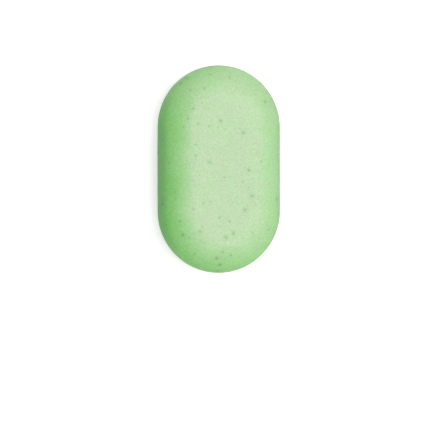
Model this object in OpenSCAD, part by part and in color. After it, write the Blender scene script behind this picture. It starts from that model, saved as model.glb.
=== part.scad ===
// A pressed bar of shaving soap: an obround cake with two flat faces and a full round edge,
// with ground plant specks stirred through it. The specks that break the surface lie flush
// in their own pockets.
//
// Frame: +Z up, the bar lying on one flat face, the origin at the centre of that face,
// the bar's length along Y and its width along X. Millimetres.

/* [Bar] */
// Length of the bar from end to end
bar_length = 90; // [75:1:110]
// Width of the bar from side to side
bar_width = 54; // [45:1:66]
// Thickness of the bar between its two flat faces
bar_thickness = 28; // [22:1:34]
// How much more than half the thickness the radius of the shoulder next to a face is
shoulder_ease = 3; // [2:0.5:4]
// How much less than half the thickness the radius of the rim is
rim_ease = 2; // [1.5:0.25:3]

/* [Coarse specks] */
// Width of a coarse speck across its corners
coarse_speck_d = 1; // [0.8:0.05:1.3]
// How deep a coarse speck goes under the skin
coarse_speck_depth = 0.6; // [0.4:0.05:0.9]
// Pitch of the cells that each hold one coarse speck
coarse_speck_pitch = 4.8; // [4:0.1:7]
// Seed of the scatter of the coarse specks
coarse_speck_seed = 7; // [1:1:99]

/* [Fine specks] */
// Width of a fine speck across its corners
fine_speck_d = 0.6; // [0.45:0.05:0.75]
// How deep a fine speck goes under the skin
fine_speck_depth = 0.4; // [0.3:0.05:0.6]
// Pitch of the cells that each hold one fine speck
fine_speck_pitch = 3.6; // [3:0.1:5]
// Seed of the scatter of the fine specks
fine_speck_seed = 23; // [1:1:99]

/* [Scatter] */
// Least soap between two specks
speck_gap = 0.3; // [0.2:0.05:0.5]

/* [Hidden] */
$fn = 240;
// A speck is an angular chip. The chips take these numbers of sides in turn, and each one is
// turned this many degrees further than the last.
chip_sides = [6, 5, 7];
chip_turn = 137.5;

soap_colour = "#bfe0ae";
coarse_speck_colour = "#5f8456";
fine_speck_colour = "#759a68";

half_thickness = bar_thickness / 2;
half_width = bar_width / 2;
straight = bar_length - bar_width;
shoulder_r = half_thickness + shoulder_ease;
rim_r = half_thickness - rim_ease;
// The shoulder and rim arcs meet tangent where both centres and the meeting point line up.
blend_angle = asin(shoulder_ease / (shoulder_ease + rim_ease));
rim_x = half_width - rim_r;
face_half_width = rim_x - (shoulder_r - rim_r) * cos(blend_angle);
shoulder_z = half_thickness - shoulder_r;
meeting = [rim_x + rim_r * cos(blend_angle), rim_r * sin(blend_angle)];
coarse_speck_r = coarse_speck_d / 2;
fine_speck_r = fine_speck_d / 2;

// ---- the section of the bar, with X outwards from its long axis and Y up from its middle plane

function polar(r, a) = [r * cos(a), r * sin(a)];

// A slice of a disc between two angles, less than half a turn apart.
module sector(r, from, to) {
    reach = 2 * r;
    intersection() {
        circle(r);
        polygon([[0, 0], polar(reach, from), polar(reach, (from + to) / 2), polar(reach, to)]);
    }
}

// One shoulder arc, from the edge of the upper face down to the rim arc.
module shoulder_slice() {
    translate([face_half_width, shoulder_z])
        sector(shoulder_r, blend_angle, 90);
}

// The straight-sided core of half of the section, which reaches well under all three arcs.
module core() {
    polygon([
        [0, -half_thickness],
        [face_half_width, -half_thickness],
        [meeting.x, -meeting.y],
        meeting,
        [face_half_width, half_thickness],
        [0, half_thickness]
    ]);
}

// Half of the section, from the long axis out to the rim.
module half_section() {
    core();
    shoulder_slice();
    mirror([0, 1])
        shoulder_slice();
    translate([rim_x, 0])
        sector(rim_r, -blend_angle, blend_angle);
}

// ---- the whole cake, with no pockets

module round_end() {
    translate([0, straight / 2, half_thickness])
        rotate_extrude(angle = 180)
            half_section();
}

module straight_middle() {
    translate([0, straight / 2, half_thickness])
        rotate([90, 0, 0])
            linear_extrude(straight) {
                half_section();
                mirror([1, 0])
                    half_section();
            }
}

module cake() {
    straight_middle();
    round_end();
    mirror([0, 1, 0])
        round_end();
}

// ---- where the specks lie

// How far a point of the section lies outside its edge: less than 0 is inside the soap.
function out_of_section(x, z) =
    let (u = x - face_half_width, w = z - shoulder_z)
    x <= face_half_width ? z - half_thickness
    : w * cos(blend_angle) >= u * sin(blend_angle) ? norm([u, w]) - shoulder_r
    : norm([x - rim_x, z]) - rim_r;

// How far a point of the bar lies outside its skin.
function out_of_cake(p) =
    out_of_section(
        norm([p.x, max(abs(p.y) - straight / 2, 0)]),
        abs(p.z - half_thickness));

// The direction that leads straight out of the soap from a point near the skin.
function skin_normal(p) =
    let (
        plan = [p.x, sign(p.y) * max(abs(p.y) - straight / 2, 0)],
        x = norm(plan),
        z = abs(p.z - half_thickness),
        u = x - face_half_width,
        w = z - shoulder_z,
        on_shoulder = w * cos(blend_angle) >= u * sin(blend_angle),
        slope = u <= 0 ? [0, 1]
            : on_shoulder ? [u, w] / norm([u, w])
            : [x - rim_x, z] / norm([x - rim_x, z]),
        outwards = x > 0 ? plan / x : [1, 0]
    )
    [outwards.x * slope[0], outwards.y * slope[0], sign(p.z - half_thickness) * slope[1]];

// The bar's box is cut into cells of one pitch, with one speck anywhere in each cell.
// The specks that lie within half their radius of the skin are kept, each moved to the nearest
// point of the skin.
function scattered(r, pitch, seed) =
    let (
        n = [ceil(bar_width / pitch), ceil(bar_length / pitch), ceil(bar_thickness / pitch)],
        chance = rands(0, 1, 3 * n.x * n.y * n.z, seed)
    )
    [
        for (i = [0 : n.x - 1], j = [0 : n.y - 1], k = [0 : n.z - 1])
        let (
            cell = 3 * ((i * n.y + j) * n.z + k),
            at = pitch * [
                i + chance[cell] - n.x / 2,
                j + chance[cell + 1] - n.y / 2,
                k + chance[cell + 2] - n.z / 2
            ] + [0, 0, half_thickness],
            out = out_of_cake(at)
        )
        if (abs(out) < r / 2) at - out * skin_normal(at)
    ];

function clear_of(p, others, least) =
    len([for (q = others) if (norm(p - q) < least) 1]) == 0;

// The places that are clear of every place before them in the list.
function thinned(places, least) =
    [
        for (i = [0 : len(places) - 1])
            if (clear_of(places[i], [for (j = [0 : 1 : i - 1]) places[j]], least)) places[i]
    ];

coarse_places = thinned(
    scattered(coarse_speck_r, coarse_speck_pitch, coarse_speck_seed),
    coarse_speck_d + speck_gap);
fine_places = thinned(
    [
        for (p = scattered(fine_speck_r, fine_speck_pitch, fine_speck_seed))
            if (clear_of(p, coarse_places, coarse_speck_r + fine_speck_r + speck_gap)) p
    ],
    fine_speck_d + speck_gap);

// One chip for each place on the skin, reaching from a depth under the skin up to a height over
// it, with its sides straight along the direction that leads out of the soap.
module chips(places, r, depth, height) {
    for (i = [0 : 1 : len(places) - 1]) {
        n = skin_normal(places[i]);
        translate(places[i])
            rotate([0, acos(n.z), atan2(n.y, n.x)])
                translate([0, 0, -depth])
                    rotate(chip_turn * i)
                        cylinder(h = depth + height, r = r, $fn = chip_sides[i % len(chip_sides)]);
    }
}

// The holes that the chips sit in, cut through to open air.
module pockets(places, r, depth) {
    chips(places, r, depth, r);
}

// The chips themselves. Their flat tops lie lower than the middle of the skin over them by as
// much as the tightest round of the bar falls away across half a chip, so none stands proud.
module flush_chips(places, r, depth) {
    chips(places, r, depth, -r * r / (2 * rim_r));
}

// ---- the pieces

module soap_bar() {
    color(soap_colour)
        difference() {
            cake();
            pockets(coarse_places, coarse_speck_r, coarse_speck_depth);
            pockets(fine_places, fine_speck_r, fine_speck_depth);
        }
}

module coarse_specks() {
    color(coarse_speck_colour)
        flush_chips(coarse_places, coarse_speck_r, coarse_speck_depth);
}

module fine_specks() {
    color(fine_speck_colour)
        flush_chips(fine_places, fine_speck_r, fine_speck_depth);
}

soap_bar();
coarse_specks();
fine_specks();
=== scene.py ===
import math

import bmesh
import bpy
import numpy as np
from mathutils import Matrix, Vector


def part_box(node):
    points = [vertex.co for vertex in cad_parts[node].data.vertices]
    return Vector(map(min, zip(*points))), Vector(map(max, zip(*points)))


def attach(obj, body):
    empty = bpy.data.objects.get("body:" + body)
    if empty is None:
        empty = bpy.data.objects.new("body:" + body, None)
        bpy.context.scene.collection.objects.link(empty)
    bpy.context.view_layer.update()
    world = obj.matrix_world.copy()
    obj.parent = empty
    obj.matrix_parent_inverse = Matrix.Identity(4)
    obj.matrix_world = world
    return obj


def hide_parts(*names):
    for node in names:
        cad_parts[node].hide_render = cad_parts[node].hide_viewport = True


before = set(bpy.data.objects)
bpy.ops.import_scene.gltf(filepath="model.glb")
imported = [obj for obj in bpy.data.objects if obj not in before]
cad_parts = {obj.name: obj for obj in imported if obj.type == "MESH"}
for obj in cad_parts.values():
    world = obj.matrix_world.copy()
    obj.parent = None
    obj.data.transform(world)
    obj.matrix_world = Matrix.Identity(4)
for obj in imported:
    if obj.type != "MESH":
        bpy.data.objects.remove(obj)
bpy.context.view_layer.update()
print("frame loaded:", sorted(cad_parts))

mm = 0.001

barLow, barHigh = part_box("soap_bar")
barLength = barHigh.y - barLow.y
barWidth = barHigh.x - barLow.x
barThickness = barHigh.z - barLow.z
barCentre = (barLow + barHigh) / 2


# Smooth step: 0 below low, 1 above high, and 3t^2 - 2t^3 in between.
def softStep(x, low, high):
    t = np.clip((x - low) / (high - low), 0, 1)
    return t * t * (3 - 2 * t)


# Smooth noise from -1 to 1: chance values on a cubic lattice, blended with the quintic fade
# 6t^5 - 15t^4 + 10t^3 along each axis. size is the lattice's pitch, and it repeats after 32 of
# them, which is longer than the bar.
def smoothNoise(points, size, seed):
    repeat = 32
    lattice = np.random.default_rng(seed).uniform(-1, 1, (repeat, repeat, repeat))
    p = points / size
    cell = np.floor(p).astype(int)
    t = p - cell
    fade = t * t * t * (t * (t * 6 - 15) + 10)
    total = np.zeros(len(points))
    for dx in (0, 1):
        for dy in (0, 1):
            for dz in (0, 1):
                corner = (cell + (dx, dy, dz)) % repeat
                weight = (
                    np.where(dx, fade[:, 0], 1 - fade[:, 0])
                    * np.where(dy, fade[:, 1], 1 - fade[:, 1])
                    * np.where(dz, fade[:, 2], 1 - fade[:, 2])
                )
                total += weight * lattice[corner[:, 0], corner[:, 1], corner[:, 2]]
    return total


# A piece on the root body that stands for one CAD node and takes its finish from one slot.
def makePiece(name, vertices, faces, node):
    mesh = bpy.data.meshes.new(name)
    mesh.from_pydata(vertices.tolist(), [], faces.tolist())
    mesh.validate()
    piece = bpy.data.objects.new(name, mesh)
    bpy.context.scene.collection.objects.link(piece)
    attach(piece, "root")
    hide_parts(node)
    return piece


# The bar's length, width and thickness come from the frame, and its two eases are the same as
# there.
bar = {
    "shoulderEase": 3 * mm,  # shoulder radius over half the thickness
    "rimEase": 2 * mm,  # rim radius under half the thickness
    "endColumns": 188,  # round each half-round end
    "sideColumns": 80,  # along each straight side
    "faceRows": 27,  # from the spine to the edge of a flat face
    "shoulderRows": 38,
    "rimRows": 36,
    "swell": 0.11 * mm,  # slow unevenness from pressing and drying
    "ripple": 0.05 * mm,  # shorter dents from handling
    "swellSize": 17 * mm,
    "rippleSize": 4.5 * mm,
    "drawnIn": 0.002,  # share of the width by which the ends are narrower than the middle
    "drawnFrom": 1.3,  # where that is whole, in half lengths of the straight sides
    "seed": 11,
}

halfThickness = barThickness / 2
halfWidth = barWidth / 2
spineHalf = (barLength - barWidth) / 2
shoulderRadius = halfThickness + bar["shoulderEase"]
rimRadius = halfThickness - bar["rimEase"]
blendAngle = math.asin(bar["shoulderEase"] / (bar["shoulderEase"] + bar["rimEase"]))
rimX = halfWidth - rimRadius
faceX = rimX - (shoulderRadius - rimRadius) * math.cos(blendAngle)
shoulderZ = halfThickness - shoulderRadius


# The section from the middle of the upper face round to the middle of the lower one: a flat
# run, a shoulder arc, a rim arc, a shoulder arc and a flat run. Each arc is its centre + its
# radius * (cos, sin) of the turn.
def sectionCurve():
    flat = np.linspace(0, faceX, bar["faceRows"] + 1)
    turn = np.linspace(math.pi / 2, blendAngle, bar["shoulderRows"] + 1)[1:]
    rimTurn = np.linspace(blendAngle, -blendAngle, bar["rimRows"] + 1)[1:]
    top = np.stack([flat, np.full_like(flat, halfThickness)], 1)
    shoulder = np.stack(
        [faceX + shoulderRadius * np.cos(turn), shoulderZ + shoulderRadius * np.sin(turn)], 1
    )
    edge = np.stack([rimX + rimRadius * np.cos(rimTurn), rimRadius * np.sin(rimTurn)], 1)
    lower = np.concatenate([top, shoulder])[::-1][1:] * (1, -1)
    return np.concatenate([top, shoulder, edge, lower])


# The plan: a point on the spine and the direction straight out of it, going once round the bar.
# The straight sides slide the point along Y, and each end turns the direction (cos, sin) through
# half a turn.
def planCurve():
    turn = np.linspace(0, math.pi, bar["endColumns"], endpoint=False)
    slide = np.linspace(1, -1, bar["sideColumns"], endpoint=False) * spineHalf
    farEnd = np.stack([np.cos(turn), np.sin(turn), np.full_like(turn, spineHalf)], 1)
    left = np.stack([-np.ones_like(slide), np.zeros_like(slide), slide], 1)
    nearEnd = farEnd * (-1, -1, -1)
    right = left * (-1, 1, -1)
    return np.concatenate([farEnd, left, nearEnd, right])


# How far a point lies inside the skin, and the skin's outward normal there. Over a flat face that
# is half the thickness - height, and elsewhere an arc's radius - the distance from its centre.
def skinAt(points):
    planX = points[:, 0]
    planY = np.sign(points[:, 1]) * np.maximum(np.abs(points[:, 1]) - spineHalf, 0)
    x = np.hypot(planX, planY)
    z = points[:, 2] - barCentre.z
    u, w = x - faceX, np.abs(z) - shoulderZ
    onFace = u <= 0
    onShoulder = w * math.cos(blendAngle) >= u * math.sin(blendAngle)
    shoulderReach, rimReach = np.hypot(u, w), np.hypot(x - rimX, z)
    inside = np.where(
        onFace,
        halfThickness - np.abs(z),
        np.where(onShoulder, shoulderRadius - shoulderReach, rimRadius - rimReach),
    )
    outX = np.where(onFace, 0, np.where(onShoulder, u / shoulderReach, (x - rimX) / rimReach))
    outZ = np.where(onFace, 1, np.where(onShoulder, w / shoulderReach, np.abs(z) / rimReach))
    plan = np.stack([planX, planY], 1) / np.maximum(x, 1e-9)[:, None]
    normal = np.concatenate([plan * outX[:, None], (np.sign(z) * outZ)[:, None]], 1)
    return inside, normal


# Moves points on the ideal skin to the real one: point - normal * (swell * slow noise + ripple *
# quick noise), both from 0 to 1, and then drawn in across the width by drawnIn * softStep(|y|).
# Everything here only takes away, so the bar never leaves its size.
def realSkin(points):
    normal = skinAt(points)[1]
    slow = smoothNoise(points, bar["swellSize"], bar["seed"])
    quick = smoothNoise(points, bar["rippleSize"], bar["seed"] + 1)
    sink = bar["swell"] * (0.5 + 0.5 * slow) + bar["ripple"] * (0.5 + 0.5 * quick)
    moved = points - normal * sink[:, None]
    drawn = softStep(np.abs(moved[:, 1]), 0, bar["drawnFrom"] * spineHalf)
    moved[:, 0] *= 1 - bar["drawnIn"] * drawn
    return moved


# The bar's skin on a grid of plan and section: spine point + outwards * section x across, section
# z up, and then the real unevenness.
def barSurface():
    section, plan = sectionCurve(), planCurve()
    outwards, spineY = plan[:, :2], plan[:, 2]
    x, z = section[:, 0], section[:, 1]
    grid = np.empty((len(plan), len(section), 3))
    grid[..., 0] = outwards[:, None, 0] * x
    grid[..., 1] = outwards[:, None, 1] * x + spineY[:, None]
    grid[..., 2] = z + barCentre.z
    points = realSkin(grid.reshape(-1, 3))
    columns, rows = grid.shape[:2]
    a = np.arange(columns)[:, None] * rows + np.arange(rows - 1)
    b = np.roll(np.arange(columns), -1)[:, None] * rows + np.arange(rows - 1)
    quads = np.stack([a, a + 1, b + 1, b], 2).reshape(-1, 4)
    return points, quads


# The two sides meet along the spine, and each end closes on a point there, so points nearer than
# a hair's breadth are merged, and then all faces are turned outwards.
def weld(piece):
    hair = 0.002 * mm
    work = bmesh.new()
    work.from_mesh(piece.data)
    bmesh.ops.remove_doubles(work, verts=work.verts, dist=hair)
    bmesh.ops.recalc_face_normals(work, faces=work.faces)
    work.to_mesh(piece.data)
    work.free()


# All of a mesh's points as one array, a row for each.
def pointsOf(mesh):
    points = np.empty(len(mesh.vertices) * 3)
    mesh.vertices.foreach_get("co", points)
    return points.reshape(-1, 3)


# Keeps one number for each point under a name that the finishes read.
def keepOnPoints(piece, name, values):
    layer = piece.data.attributes.new(name, "FLOAT", "POINT")
    layer.data.foreach_set("value", values.astype(np.float32))


frostAndLight = {
    "whole": 11,  # slope in degrees up to which the frost is whole
    "gone": 60,  # slope by which it has fallen to the share kept round the rim
    "fall": 1.55,  # how quickly it falls off between them
    "most": 0.88,  # share kept on the faces
    "kept": 0.33,  # share kept round the rim
    "paintedLightRight": 0.15,  # more of it towards the right, as painted light from the lit side
    "paintedLightFar": 0.14,  # and towards the far end, also painted light
    "keptEnds": 0.12,  # and at both ends
    "paintedShadeWaist": (46, 64),  # slopes where the painted shade of the long sides starts and is whole
    "paintedShadeWaistTurn": (0.7, 1.0),  # and how far towards the side the skin must face for it
    "wander": 6,  # degrees by which the frost's edge wanders
    "wanderSize": 6 * mm,
    "seed": 3,
}


# How much frosting and painted light each point keeps: all of it on the two pressed faces,
# falling off round the rim as (1 - t)^fall to the share kept there. The faces are paler partly
# from real frosting and partly as a painted highlight where the light falls full on them, and the
# rim is deeper partly as painted shade. The share kept is greater towards the right and the far
# end, as painted light from the side the light comes from, and at both ends. Here t runs from 0
# to 1 as the slope, shifted a little by smooth noise, goes from whole to gone. The waist is the
# band along the middle of the long sides, made deeper still as painted shade: the product of one
# smooth step over the slope and one over how far the skin faces the side.
def paintFrostAndLight(piece):
    points = pointsOf(piece.data)
    normal = skinAt(points)[1]
    slope = np.degrees(np.arccos(np.clip(np.abs(normal[:, 2]), 0, 1)))
    wandering = slope + frostAndLight["wander"] * smoothNoise(points, frostAndLight["wanderSize"], frostAndLight["seed"])
    t = np.clip((wandering - frostAndLight["whole"]) / (frostAndLight["gone"] - frostAndLight["whole"]), 0, 1)
    face = (1 - t) ** frostAndLight["fall"]
    steep = np.maximum(np.hypot(normal[:, 0], normal[:, 1]), 0.05)  # never 0, on the flat faces
    right, far = normal[:, 0] / steep, normal[:, 1] / steep
    # painted light: the rim is kept paler towards the right and the far end, where the light
    # falls
    kept = frostAndLight["kept"] + frostAndLight["paintedLightRight"] * right
    kept += frostAndLight["paintedLightFar"] * far + frostAndLight["keptEnds"] * np.abs(far)
    keepOnPoints(piece, "frostAndLight", face * frostAndLight["most"] + (1 - face) * kept)
    # painted shade: a deeper tone along the steep middle of the long sides
    paintedShadeWaist = softStep(slope, *frostAndLight["paintedShadeWaist"]) * softStep(np.abs(right), *frostAndLight["paintedShadeWaistTurn"])
    keepOnPoints(piece, "paintedShadeWaist", paintedShadeWaist)


barPoints, barQuads = barSurface()
soapBar = makePiece("soapBar", barPoints, barQuads, "soap_bar")
weld(soapBar)
soapBar.data.shade_smooth()
paintFrostAndLight(soapBar)
print("bar:", len(soapBar.data.vertices), "vertices", len(soapBar.data.polygons), "faces")


speck = {
    "rings": 5,  # from the top of a fleck to its underside
    "sides": 8,
    "spread": (0.95, 1.6),  # width of a fleck against its grain's own radius
    "narrow": (0.55, 0.95),  # its other width against that one
    "depth": 0.55,  # how deep it goes against its grain's radius
    "proud": 0.03 * mm,  # how far its top stands out of the skin
    "lump": 0.22,  # how uneven its outline is
    "lumpShare": (0.4, 1),  # how much of that each fleck gets
    "oval": 0.6,  # share of that in a wave that goes twice round
    "threeCornered": 0.8,  # and in one that goes three times round
    "reach": 2.0,  # how far its colour runs into the soap, in grain radii
    "seed": 5,
}


# The middle and radius of each separate grain in a CAD node. Points that share a triangle get
# the least label among them, again and again until no label changes.
def grainsOf(node):
    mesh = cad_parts[node].data
    mesh.calc_loop_triangles()
    points = pointsOf(mesh)
    triangles = np.empty(len(mesh.loop_triangles) * 3, int)
    mesh.loop_triangles.foreach_get("vertices", triangles)
    _, same = np.unique(np.round(points / (0.001 * mm)).astype(int), axis=0, return_inverse=True)
    triangles = same.reshape(-1)[triangles].reshape(-1, 3)
    label = np.arange(triangles.max() + 1)
    settled = False
    while not settled:
        least = label[triangles].min(1)
        fresh = label.copy()
        for corner in range(3):
            np.minimum.at(fresh, triangles[:, corner], least)
        fresh = fresh[fresh]
        settled = bool((fresh == label).all())
        label = fresh
    grain = np.unique(label[same.reshape(-1)], return_inverse=True)[1].reshape(-1)
    count = grain.max() + 1
    low, high = np.full((count, 3), 1e9), np.full((count, 3), -1e9)
    np.minimum.at(low, grain, points)
    np.maximum.at(high, grain, points)
    return (low + high) / 2, (high - low).max(1) / 2


# A fleck: a ball (sin lat cos lon, sin lat sin lon, cos lat), stretched by two chance widths and
# a depth. Its outline is 1 + lump * (a wave twice round + a wave three times round). It is turned
# by a chance angle and laid in the skin, its top only as high as it stands proud.
def fleckSurface(middles, radii, seed):
    chance = np.random.default_rng(seed)
    count = len(middles)
    inside, out = skinAt(middles)
    skin = realSkin(middles + out * inside[:, None])
    lat = np.linspace(0, math.pi, speck["rings"] + 1)
    lon = np.linspace(0, 2 * math.pi, speck["sides"], endpoint=False)
    ballX = np.sin(lat)[:, None] * np.cos(lon)
    ballY = np.sin(lat)[:, None] * np.sin(lon)
    ballZ = np.repeat(np.cos(lat)[:, None], len(lon), 1)
    phase = chance.uniform(0, 2 * math.pi, (3, count, 1, 1))
    wave = 1 + speck["lump"] * (
        np.cos(2 * lon + phase[0]) * speck["oval"]
        + np.cos(3 * lon + phase[1]) * speck["threeCornered"]
    ) * chance.uniform(*speck["lumpShare"], (count, 1, 1))
    wide = radii * chance.uniform(*speck["spread"], count)
    narrow = wide * chance.uniform(*speck["narrow"], count)
    deep = radii * speck["depth"]
    localX = ballX * wave * wide[:, None, None]
    localY = ballY * wave * narrow[:, None, None]
    localZ = np.where(ballZ > 0, ballZ * speck["proud"] * 2, ballZ * deep[:, None, None])
    localZ = localZ - speck["proud"]
    across = np.cross(out, (0.31, 0.95, 0.07))  # any direction that no grain faces will do
    across /= np.linalg.norm(across, axis=1, keepdims=True)
    along = np.cross(out, across)
    turnBy = phase[2, :, 0]
    sideX = across * np.cos(turnBy) + along * np.sin(turnBy)
    sideY = -across * np.sin(turnBy) + along * np.cos(turnBy)
    points = (
        skin[:, None, None]
        + localX[..., None] * sideX[:, None, None]
        + localY[..., None] * sideY[:, None, None]
        + localZ[..., None] * out[:, None, None]
    )
    ring, side = len(lat), len(lon)
    i = np.arange(ring - 1)[:, None] * side
    j = np.arange(side)
    k = (j + 1) % side
    quads = np.stack([i + j, i + side + j, i + side + k, i + k], 2).reshape(-1, 4)
    faces = (quads[None] + (np.arange(count) * ring * side)[:, None, None]).reshape(-1, 4)
    return points.reshape(-1, 3), faces


# One fleck for each grain of a kind, all in one piece. The faces stay flat, as on broken grains.
def makeSpecks(name, node, grains, seed):
    middles, radii = grains
    points, faces = fleckSurface(middles, radii, seed)
    piece = makePiece(name, points, faces, node)
    weld(piece)
    piece.data.shade_flat()
    paintFrostAndLight(piece)
    print(name + ":", len(middles), "grains", len(piece.data.polygons), "faces")
    return piece


# The soap round each grain takes a little of its colour: exp(-(distance / (reach * radius))^2) of
# the nearest grain, kept on the bar.
def paintStain(piece, *kinds):
    points = pointsOf(piece.data)
    stain = np.zeros(len(points))
    for middles, radii in kinds:
        inside, out = skinAt(middles)
        skin = realSkin(middles + out * inside[:, None])
        for middle, radius in zip(skin, radii):
            away = ((points - middle) ** 2).sum(1) / (speck["reach"] * radius) ** 2
            stain = np.maximum(stain, np.exp(-away))
    keepOnPoints(piece, "stain", stain)


coarseGrains, fineGrains = grainsOf("coarse_specks"), grainsOf("fine_specks")
coarseSpecks = makeSpecks(
    "coarseSpecks", "coarse_specks", coarseGrains, speck["seed"]
)
fineSpecks = makeSpecks("fineSpecks", "fine_specks", fineGrains, speck["seed"] + 1)
paintStain(soapBar, coarseGrains, fineGrains)


# A named input or output on a group, with its value where nothing is given.
def addSocket(group, name, way, kind, value=None):
    socket = group.interface.new_socket(name=name, in_out=way, socket_type=kind)
    if value is not None:
        socket.default_value = value


# A drift between two tones: base + (other - base) * amount * smooth step of noise.
def makeMottleGroup():
    group = bpy.data.node_groups.new("mottle", "ShaderNodeTree")
    addSocket(group, "Vector", "INPUT", "NodeSocketVector")
    addSocket(group, "Base", "INPUT", "NodeSocketColor", (1, 1, 1, 1))
    addSocket(group, "Other", "INPUT", "NodeSocketColor", (0.5, 0.5, 0.5, 1))
    addSocket(group, "Size", "INPUT", "NodeSocketFloat", 200)
    addSocket(group, "Amount", "INPUT", "NodeSocketFloat", 0.5)
    addSocket(group, "Colour", "OUTPUT", "NodeSocketColor")
    nodes, links = group.nodes, group.links
    inputs, outputs = nodes.new("NodeGroupInput"), nodes.new("NodeGroupOutput")
    noise = nodes.new("ShaderNodeTexNoise")
    noise.inputs["Detail"].default_value = 4
    noise.inputs["Roughness"].default_value = 0.6
    spread = nodes.new("ShaderNodeMapRange")
    spread.interpolation_type = "SMOOTHSTEP"
    spread.inputs["From Min"].default_value = 0.35
    spread.inputs["From Max"].default_value = 0.65
    amount = nodes.new("ShaderNodeMath")
    amount.operation = "MULTIPLY"
    mix = nodes.new("ShaderNodeMix")
    mix.data_type = "RGBA"
    links.new(inputs.outputs["Vector"], noise.inputs["Vector"])
    links.new(inputs.outputs["Size"], noise.inputs["Scale"])
    links.new(noise.outputs["Fac"], spread.inputs["Value"])
    links.new(spread.outputs["Result"], amount.inputs[0])
    links.new(inputs.outputs["Amount"], amount.inputs[1])
    links.new(amount.outputs["Value"], mix.inputs["Factor"])
    links.new(inputs.outputs["Base"], mix.inputs["A"])
    links.new(inputs.outputs["Other"], mix.inputs["B"])
    links.new(mix.outputs["Result"], outputs.inputs["Colour"])
    return group


# The surface's fine tooth: noise - dimples * pit, where pit is 1 in the middle of each cell of a
# smooth cell pattern and falls to 0 by a third of the way out.
def makeToothGroup():
    group = bpy.data.node_groups.new("tooth", "ShaderNodeTree")
    addSocket(group, "Vector", "INPUT", "NodeSocketVector")
    addSocket(group, "Size", "INPUT", "NodeSocketFloat", 1500)
    addSocket(group, "Dimples", "INPUT", "NodeSocketFloat", 0.5)
    addSocket(group, "Height", "OUTPUT", "NodeSocketFloat")
    nodes, links = group.nodes, group.links
    inputs, outputs = nodes.new("NodeGroupInput"), nodes.new("NodeGroupOutput")
    noise = nodes.new("ShaderNodeTexNoise")
    noise.inputs["Detail"].default_value = 3
    noise.inputs["Roughness"].default_value = 0.55
    cells = nodes.new("ShaderNodeTexVoronoi")
    cells.feature = "SMOOTH_F1"
    pit = nodes.new("ShaderNodeMapRange")
    pit.interpolation_type = "SMOOTHSTEP"
    pit.inputs["From Min"].default_value = 0.0
    pit.inputs["From Max"].default_value = 0.35
    pit.inputs["To Min"].default_value = 1.0
    pit.inputs["To Max"].default_value = 0.0
    scaled = nodes.new("ShaderNodeMath")
    scaled.operation = "MULTIPLY"
    taken = nodes.new("ShaderNodeMath")
    taken.operation = "SUBTRACT"
    links.new(inputs.outputs["Vector"], noise.inputs["Vector"])
    links.new(inputs.outputs["Size"], noise.inputs["Scale"])
    links.new(inputs.outputs["Vector"], cells.inputs["Vector"])
    links.new(inputs.outputs["Size"], cells.inputs["Scale"])
    links.new(cells.outputs["Distance"], pit.inputs["Value"])
    links.new(pit.outputs["Result"], scaled.inputs[0])
    links.new(inputs.outputs["Dimples"], scaled.inputs[1])
    links.new(noise.outputs["Fac"], taken.inputs[0])
    links.new(scaled.outputs["Value"], taken.inputs[1])
    links.new(taken.outputs["Value"], outputs.inputs["Height"])
    return group


# Breaks a smooth mask up into fine powder: mask * (1 + amount * fine noise), with the noise
# stretched to run from -0.5 to 0.5.
def makePowderGroup():
    group = bpy.data.node_groups.new("powder", "ShaderNodeTree")
    addSocket(group, "Vector", "INPUT", "NodeSocketVector")
    addSocket(group, "Mask", "INPUT", "NodeSocketFloat", 0.5)
    addSocket(group, "Size", "INPUT", "NodeSocketFloat", 1200)
    addSocket(group, "Amount", "INPUT", "NodeSocketFloat", 0.4)
    addSocket(group, "Mask", "OUTPUT", "NodeSocketFloat")
    nodes, links = group.nodes, group.links
    inputs, outputs = nodes.new("NodeGroupInput"), nodes.new("NodeGroupOutput")
    noise = nodes.new("ShaderNodeTexNoise")
    noise.inputs["Detail"].default_value = 2
    noise.inputs["Roughness"].default_value = 0.7
    spread = nodes.new("ShaderNodeMapRange")
    spread.inputs["From Min"].default_value = 0.3
    spread.inputs["From Max"].default_value = 0.7
    spread.inputs["To Min"].default_value = -0.5
    spread.inputs["To Max"].default_value = 0.5
    scaled = nodes.new("ShaderNodeMath")
    scaled.operation = "MULTIPLY"
    broken = nodes.new("ShaderNodeMath")
    broken.operation = "MULTIPLY_ADD"
    broken.use_clamp = True
    links.new(inputs.outputs["Vector"], noise.inputs["Vector"])
    links.new(inputs.outputs["Size"], noise.inputs["Scale"])
    links.new(noise.outputs["Fac"], spread.inputs["Value"])
    links.new(spread.outputs["Result"], scaled.inputs[0])
    links.new(inputs.outputs["Amount"], scaled.inputs[1])
    links.new(scaled.outputs["Value"], broken.inputs[0])
    links.new(inputs.outputs["Mask"], broken.inputs[1])
    links.new(inputs.outputs["Mask"], broken.inputs[2])
    links.new(broken.outputs["Value"], outputs.inputs["Mask"])
    return group


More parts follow.
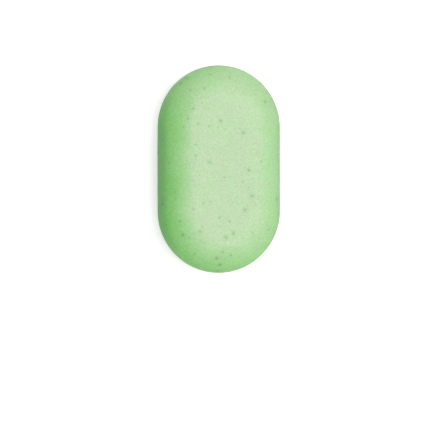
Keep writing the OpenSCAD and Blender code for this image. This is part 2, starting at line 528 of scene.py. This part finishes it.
# Dots of fine plant dust: strength * (1 - smooth step of the distance over reach), round a chance
# point in each cell that the skin happens to pass. Each dot has a chance strength from 0 to 1.
def makeDustGroup():
    group = bpy.data.node_groups.new("dust", "ShaderNodeTree")
    addSocket(group, "Vector", "INPUT", "NodeSocketVector")
    addSocket(group, "Size", "INPUT", "NodeSocketFloat", 250)
    addSocket(group, "Reach", "INPUT", "NodeSocketFloat", 0.13)
    addSocket(group, "Mask", "OUTPUT", "NodeSocketFloat")
    nodes, links = group.nodes, group.links
    inputs, outputs = nodes.new("NodeGroupInput"), nodes.new("NodeGroupOutput")
    cells = nodes.new("ShaderNodeTexVoronoi")
    dot = nodes.new("ShaderNodeMapRange")
    dot.interpolation_type = "SMOOTHSTEP"
    dot.inputs["From Min"].default_value = 0.0
    dot.inputs["To Min"].default_value = 1.0
    dot.inputs["To Max"].default_value = 0.0
    faint = nodes.new("ShaderNodeSeparateColor")
    scaled = nodes.new("ShaderNodeMath")
    scaled.operation = "MULTIPLY"
    links.new(inputs.outputs["Vector"], cells.inputs["Vector"])
    links.new(inputs.outputs["Size"], cells.inputs["Scale"])
    links.new(cells.outputs["Distance"], dot.inputs["Value"])
    links.new(inputs.outputs["Reach"], dot.inputs["From Max"])
    links.new(cells.outputs["Color"], faint.inputs["Color"])
    links.new(dot.outputs["Result"], scaled.inputs[0])
    links.new(faint.outputs["Red"], scaled.inputs[1])
    links.new(scaled.outputs["Value"], outputs.inputs["Mask"])
    return group


mottle = makeMottleGroup()
tooth = makeToothGroup()
powder = makePowderGroup()
dust = makeDustGroup()


# A fresh material, with its nodes, its links, its one shader and a source of coordinates.
def startMaterial(name):
    material = bpy.data.materials.new(name)
    material.use_nodes = True
    nodes, links = material.node_tree.nodes, material.node_tree.links
    shader = nodes["Principled BSDF"]
    place = nodes.new("ShaderNodeTexCoord")
    return material, nodes, links, shader, place


# Places a group in a material, with its inputs set by name.
def useGroup(nodes, group, **values):
    node = nodes.new("ShaderNodeGroup")
    node.node_tree = group
    for name, value in values.items():
        node.inputs[name].default_value = value
    return node


soapFinish = {
    "face": (0.52, 0.63, 0.445, 1),  # frosted faces, and paler as a painted highlight where the light falls full
    "faceOther": (0.49, 0.62, 0.415, 1),
    "rim": (0.178, 0.585, 0.108, 1),  # deeper green round the edge: partly its clearer skin, partly painted shade
    "rimOther": (0.222, 0.605, 0.148, 1),
    "paintedShadeWaist": (0.145, 0.52, 0.107, 1),  # deeper again along the middle of the long sides: painted shade
    "stained": (0.20, 0.44, 0.15, 1),  # round a grain
    "stainAmount": 0.42,
    "dustSize": 310,
    "dustReach": 0.175,
    "dustAmount": 0.75,
    "grainDark": (0.915, 0.915, 0.915, 1),  # what fine grain takes off the tone at its darkest
    "grainPale": (1.05, 1.05, 1.06, 1),
    "grainSize": 1500,
    "faceMottleSize": 260,  # all such sizes are patches to the metre
    "faceMottle": 0.8,  # how far the tone drifts towards the other one
    "rimMottleSize": 520,
    "rimMottle": 0.8,
    "powderSize": 1100,
    "powderAmount": 0.22,
    "toothSize": 1300,
    "toothDimples": 0.4,
    "toothHeight": 0.05 * mm,
    "toothStrength": 0.6,
    "faceRoughness": 0.62,
    "rimRoughness": 0.42,
    "bend": 1.46,  # how much the soap bends light
    "shine": 0.25,
    "milky": 0.9,  # share of the light that wanders under the skin
    "depth": 6 * mm,  # how far green light wanders there
    "depthShares": (0.28, 1.0, 0.22),  # red and blue go less far
}


# The soap's tone is the frosted one and the rim's, mixed by the mask of frosting and painted
# light broken up into powder, so that it is paler where the light falls and deeper where it is
# shaded. The rim's is mixed with the waist's painted shade first. Fine grain multiplies it, and
# then the stain round the grains or the dust, whichever is stronger, is mixed in. Gloss follows
# the same mask.
def makeSoap():
    material, nodes, links, shader, place = startMaterial("paleGreenSoap")
    shader.inputs["IOR"].default_value = soapFinish["bend"]
    shader.inputs["Specular IOR Level"].default_value = soapFinish["shine"]
    shader.inputs["Subsurface Weight"].default_value = soapFinish["milky"]
    shader.inputs["Subsurface Radius"].default_value = soapFinish["depthShares"]
    shader.inputs["Subsurface Scale"].default_value = soapFinish["depth"]
    faceTone = useGroup(
        nodes, mottle, Base=soapFinish["face"], Other=soapFinish["faceOther"],
        Size=soapFinish["faceMottleSize"], Amount=soapFinish["faceMottle"],
    )
    rimTone = useGroup(
        nodes, mottle, Base=soapFinish["rim"], Other=soapFinish["rimOther"],
        Size=soapFinish["rimMottleSize"], Amount=soapFinish["rimMottle"],
    )
    frostAndLightKept = nodes.new("ShaderNodeAttribute")
    frostAndLightKept.attribute_name = "frostAndLight"
    broken = useGroup(
        nodes, powder, Size=soapFinish["powderSize"], Amount=soapFinish["powderAmount"]
    )
    fineGrain = useGroup(
        nodes, mottle, Base=soapFinish["grainDark"], Other=soapFinish["grainPale"],
        Size=soapFinish["grainSize"], Amount=1.0,
    )
    grained = nodes.new("ShaderNodeMix")
    grained.data_type = "RGBA"
    grained.blend_type = "MULTIPLY"
    grained.clamp_result = False
    grained.inputs["Factor"].default_value = 1.0
    dots = useGroup(nodes, dust, Size=soapFinish["dustSize"], Reach=soapFinish["dustReach"])
    # painted shade: the deeper tone along the steep middle of the long sides
    paintedShadeWaistKept = nodes.new("ShaderNodeAttribute")
    paintedShadeWaistKept.attribute_name = "paintedShadeWaist"
    edgeTone = nodes.new("ShaderNodeMix")
    edgeTone.data_type = "RGBA"
    edgeTone.inputs["B"].default_value = soapFinish["paintedShadeWaist"]
    # partly painted light: the face tone is mixed in by the mask of frosting and painted light
    tone = nodes.new("ShaderNodeMix")
    tone.data_type = "RGBA"
    stainKept = nodes.new("ShaderNodeAttribute")
    stainKept.attribute_name = "stain"
    stainShare = nodes.new("ShaderNodeMath")
    stainShare.operation = "MULTIPLY"
    stainShare.inputs[1].default_value = soapFinish["stainAmount"]
    dotShare = nodes.new("ShaderNodeMath")
    dotShare.operation = "MULTIPLY"
    dotShare.inputs[1].default_value = soapFinish["dustAmount"]
    marked = nodes.new("ShaderNodeMath")
    marked.operation = "MAXIMUM"
    stained = nodes.new("ShaderNodeMix")
    stained.data_type = "RGBA"
    stained.inputs["B"].default_value = soapFinish["stained"]
    gloss = nodes.new("ShaderNodeMapRange")
    gloss.inputs["To Min"].default_value = soapFinish["rimRoughness"]
    gloss.inputs["To Max"].default_value = soapFinish["faceRoughness"]
    grain = useGroup(
        nodes, tooth, Size=soapFinish["toothSize"], Dimples=soapFinish["toothDimples"]
    )
    bump = nodes.new("ShaderNodeBump")
    bump.inputs["Distance"].default_value = soapFinish["toothHeight"]
    bump.inputs["Strength"].default_value = soapFinish["toothStrength"]
    for user in (faceTone, rimTone, broken, fineGrain, dots, grain):
        links.new(place.outputs["Object"], user.inputs["Vector"])
    links.new(frostAndLightKept.outputs["Fac"], broken.inputs["Mask"])
    links.new(broken.outputs["Mask"], tone.inputs["Factor"])
    links.new(paintedShadeWaistKept.outputs["Fac"], edgeTone.inputs["Factor"])
    links.new(rimTone.outputs["Colour"], edgeTone.inputs["A"])
    links.new(edgeTone.outputs["Result"], tone.inputs["A"])
    links.new(faceTone.outputs["Colour"], tone.inputs["B"])
    links.new(stainKept.outputs["Fac"], stainShare.inputs[0])
    links.new(dots.outputs["Mask"], dotShare.inputs[0])
    links.new(stainShare.outputs["Value"], marked.inputs[0])
    links.new(dotShare.outputs["Value"], marked.inputs[1])
    links.new(tone.outputs["Result"], grained.inputs["A"])
    links.new(fineGrain.outputs["Colour"], grained.inputs["B"])
    links.new(marked.outputs["Value"], stained.inputs["Factor"])
    links.new(grained.outputs["Result"], stained.inputs["A"])
    links.new(stained.outputs["Result"], shader.inputs["Base Color"])
    links.new(broken.outputs["Mask"], gloss.inputs["Value"])
    links.new(gloss.outputs["Result"], shader.inputs["Roughness"])
    links.new(grain.outputs["Height"], bump.inputs["Height"])
    links.new(bump.outputs["Normal"], shader.inputs["Normal"])
    return material


speckFinish = {
    "darkPlantGrain": {
        "face": (0.305, 0.44, 0.265, 1),  # dusted with frosting like the soap round it, and paler as painted light
        "faceOther": (0.365, 0.495, 0.315, 1),
        "rim": (0.13, 0.34, 0.09, 1),  # bare of frosting, and deeper as painted shade
        "rimOther": (0.17, 0.41, 0.12, 1),
    },
    "finePlantGrain": {
        "face": (0.32, 0.46, 0.28, 1),
        "faceOther": (0.38, 0.52, 0.33, 1),
        "rim": (0.15, 0.37, 0.10, 1),
        "rimOther": (0.19, 0.44, 0.13, 1),
    },
    "patchSize": 900,
    "toothSize": 5000,
    "toothDimples": 0.2,
    "toothHeight": 0.03 * mm,
    "roughness": 0.7,
}


# Each grain's tone drifts between two, and both are paler where the soap is frosted and where the
# painted light falls: the rim's tone + (the face's - the rim's) * the mask of frosting and light.
def makeSpeckFinish(name):
    material, nodes, links, shader, place = startMaterial(name)
    shader.inputs["Roughness"].default_value = speckFinish["roughness"]
    tones = speckFinish[name]
    onFace = useGroup(
        nodes, mottle, Base=tones["face"], Other=tones["faceOther"],
        Size=speckFinish["patchSize"], Amount=1.0,
    )
    onRim = useGroup(
        nodes, mottle, Base=tones["rim"], Other=tones["rimOther"],
        Size=speckFinish["patchSize"], Amount=1.0,
    )
    frostAndLightKept = nodes.new("ShaderNodeAttribute")
    frostAndLightKept.attribute_name = "frostAndLight"
    tone = nodes.new("ShaderNodeMix")
    tone.data_type = "RGBA"
    grain = useGroup(
        nodes, tooth, Size=speckFinish["toothSize"], Dimples=speckFinish["toothDimples"]
    )
    bump = nodes.new("ShaderNodeBump")
    bump.inputs["Distance"].default_value = speckFinish["toothHeight"]
    for user in (onFace, onRim, grain):
        links.new(place.outputs["Object"], user.inputs["Vector"])
    # partly painted light: paler where the light falls, by the same mask as the soap
    links.new(frostAndLightKept.outputs["Fac"], tone.inputs["Factor"])
    links.new(onRim.outputs["Colour"], tone.inputs["A"])
    links.new(onFace.outputs["Colour"], tone.inputs["B"])
    links.new(tone.outputs["Result"], shader.inputs["Base Color"])
    links.new(grain.outputs["Height"], bump.inputs["Height"])
    links.new(bump.outputs["Normal"], shader.inputs["Normal"])
    return material


soapBar.data.materials.append(makeSoap())
coarseSpecks.data.materials.append(makeSpeckFinish("darkPlantGrain"))
fineSpecks.data.materials.append(makeSpeckFinish("finePlantGrain"))
print("finishes made")


studio = {
    "floorSize": 40.0,
    "floorColour": (0.66, 0.66, 0.66, 1),
    "floorRoughness": 0.9,
    "floorShine": 0.2,
    "floorLift": 0.5,  # how much paler the floor looks than it lights
    "worldStrength": 0.11,
    "worldSeen": 1.0,  # how bright the blank backdrop looks
    "key": {"from": (0.13, 0.03, 0.99), "strength": 2.95, "spread": 60},
    "farFill": {"from": (0, 0.87, 0.5), "strength": 0.74, "spread": 40},
    "nearFill": {"from": (0, -0.87, 0.5), "strength": 0.74, "spread": 40},
    "lens": 135,
    "sensor": 36,
    "clip": (0.01, 20),
    "cameraTurn": 13,  # degrees towards the bar's left
    "frameWidth": 186.2 * mm,  # what the view takes in from side to side at the bar
    "barRight": 1.75 * mm,  # the bar's middle, from the middle of the view
    "barUp": 19.8 * mm,
}


# A square floor under the bar. Its own glow is lift where the camera looks at it and 0 for all
# other light, so that it looks pale and lights the bar no more than a grey one.
def makeFloor():
    half = studio["floorSize"] / 2
    mesh = bpy.data.meshes.new("floor")
    corners = [(-half, -half, 0), (half, -half, 0), (half, half, 0), (-half, half, 0)]
    mesh.from_pydata(corners, [], [(0, 1, 2, 3)])
    floor = bpy.data.objects.new("floor", mesh)
    bpy.context.scene.collection.objects.link(floor)
    material = bpy.data.materials.new("paleFloor")
    material.use_nodes = True
    shader = material.node_tree.nodes["Principled BSDF"]
    shader.inputs["Base Color"].default_value = studio["floorColour"]
    shader.inputs["Roughness"].default_value = studio["floorRoughness"]
    shader.inputs["Specular IOR Level"].default_value = studio["floorShine"]
    shader.inputs["Emission Color"].default_value = (1, 1, 1, 1)
    nodes, links = material.node_tree.nodes, material.node_tree.links
    seen = nodes.new("ShaderNodeLightPath")
    lift = nodes.new("ShaderNodeMath")
    lift.operation = "MULTIPLY"
    lift.inputs[1].default_value = studio["floorLift"]
    links.new(seen.outputs["Is Camera Ray"], lift.inputs[0])
    links.new(lift.outputs["Value"], shader.inputs["Emission Strength"])
    mesh.materials.append(material)


# Turns a thing to look along -Z at a target, with its Y as near to upwards as that allows: its Z
# is away from the target, its X is upwards x Z, and its Y is Z x X.
def aim(thing, target, upwards):
    back = (thing.location - Vector(target)).normalized()
    right = Vector(upwards).cross(back).normalized()
    thing.rotation_mode = "QUATERNION"
    turned = Matrix((right, back.cross(right), back)).transposed()
    thing.rotation_quaternion = turned.to_quaternion()


# A soft light from far off, so that it falls alike on the bar and on all of the floor.
def makeLight(name):
    lamp = bpy.data.lights.new(name, "SUN")
    lamp.energy = studio[name]["strength"]
    lamp.angle = math.radians(studio[name]["spread"])
    holder = bpy.data.objects.new(name, lamp)
    bpy.context.scene.collection.objects.link(holder)
    holder.location = studio[name]["from"]
    aim(holder, (0, 0, 0), (1, 0, 0))


# The backdrop lights the bar only dimly, but looks blank and pale behind it: its strength is
# worldStrength + (worldSeen - worldStrength) * (1 for the camera's own rays, else 0).
def makeWorld():
    world = bpy.data.worlds.new("studio")
    bpy.context.scene.world = world
    world.use_nodes = True
    nodes, links = world.node_tree.nodes, world.node_tree.links
    sky = nodes["Background"]
    sky.inputs["Color"].default_value = (1, 1, 1, 1)
    seen = nodes.new("ShaderNodeLightPath")
    strength = nodes.new("ShaderNodeMath")
    strength.operation = "MULTIPLY_ADD"
    strength.inputs[1].default_value = studio["worldSeen"] - studio["worldStrength"]
    strength.inputs[2].default_value = studio["worldStrength"]
    links.new(seen.outputs["Is Camera Ray"], strength.inputs[0])
    links.new(strength.outputs["Value"], sky.inputs["Strength"])


# The camera stands straight out from the bar's middle, turned to its left, at frameWidth * lens /
# sensor from it, and looks a little past it, so that the bar sits where barRight and barUp say.
def makeCamera():
    turn = math.radians(studio["cameraTurn"])
    back = Vector((-math.sin(turn), 0, math.cos(turn)))
    right = Vector((math.cos(turn), 0, math.sin(turn)))
    up = Vector((0, 1, 0))
    distance = studio["frameWidth"] * studio["lens"] / studio["sensor"]
    lens = bpy.data.cameras.new("camera")
    lens.lens = studio["lens"]
    lens.sensor_width = studio["sensor"]
    lens.clip_start, lens.clip_end = studio["clip"]
    camera = bpy.data.objects.new("camera", lens)
    bpy.context.scene.collection.objects.link(camera)
    camera.location = barCentre + back * distance
    aim(camera, barCentre - right * studio["barRight"] - up * studio["barUp"], up)
    bpy.context.scene.camera = camera


makeFloor()
makeWorld()
for name in ("key", "farFill", "nearFill"):
    makeLight(name)
makeCamera()
bpy.context.scene.view_settings.view_transform = "Standard"
print("studio set")
